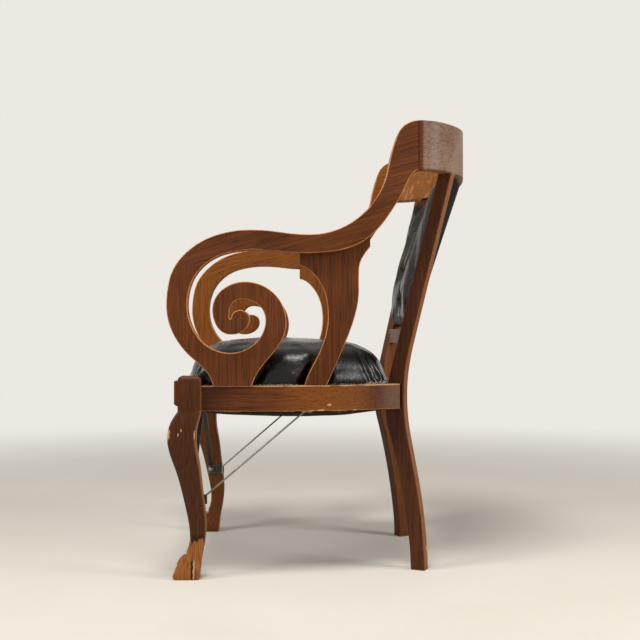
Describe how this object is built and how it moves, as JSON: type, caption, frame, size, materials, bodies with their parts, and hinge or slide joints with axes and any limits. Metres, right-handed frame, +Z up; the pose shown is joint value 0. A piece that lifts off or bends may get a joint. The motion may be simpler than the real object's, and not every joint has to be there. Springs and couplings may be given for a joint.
{
  "type": "billiard chair",
  "caption": "Oak armchair with scroll arms, curved crest rail, cabriole front legs, sprung leather seat, tufted leather back and iron braces under the seat.",
  "frame": {"origin": "on the floor, under the middle of the chair's box", "axes": "+Z up; the chair faces -Y, so the sitter's left is +X"},
  "size_m": [0.623, 0.728, 1.066],
  "materials": {
    "oak": "worn dark varnish",
    "plain_wood": "plain",
    "iron": "dull, worn bright at edges",
    "leather": "worn gloss",
    "stuffing": "loose fibre",
    "hessian": "coarse weave",
    "webbing": "flat weave",
    "spring_steel": "dull",
    "dark_cloth": "plain weave"
  },
  "bodies": {
    "root": {"front_leg_left": "oak", "front_leg_right": "oak", "leg_tablet_left": "oak", "leg_tablet_right": "oak", "rear_leg_left": "oak", "rear_leg_right": "oak", "front_rail": "oak", "side_rail_left": "oak", "side_rail_right": "oak", "back_rail": "oak", "back_cross_rail": "oak", "crest_rail": "oak", "arm_scroll_left": "oak", "arm_scroll_right": "oak", "arm_rail_left": "oak", "arm_rail_right": "oak", "arm_support_left": "oak", "arm_support_right": "oak", "corner_blocks": "plain_wood", "arm_dowels": "plain_wood", "support_dowels": "plain_wood", "crest_dowels": "plain_wood", "rail_dowels": "plain_wood", "leg_clip_left": "iron", "leg_clip_right": "iron", "brace_strap_left": "iron", "brace_strap_right": "iron", "brace_rod_left": "iron", "brace_rod_right": "iron", "clip_bolts": "iron", "rod_screws": "iron", "strap_screws": "iron", "seat_cover": "leather", "back_pad": "leather", "back_buttons": "leather", "seat_stuffing": "stuffing", "seat_hessian": "hessian", "seat_webbing": "webbing", "seat_springs": "spring_steel", "dust_cover": "dark_cloth", "back_lining": "dark_cloth"}
  },
  "joints": []
}
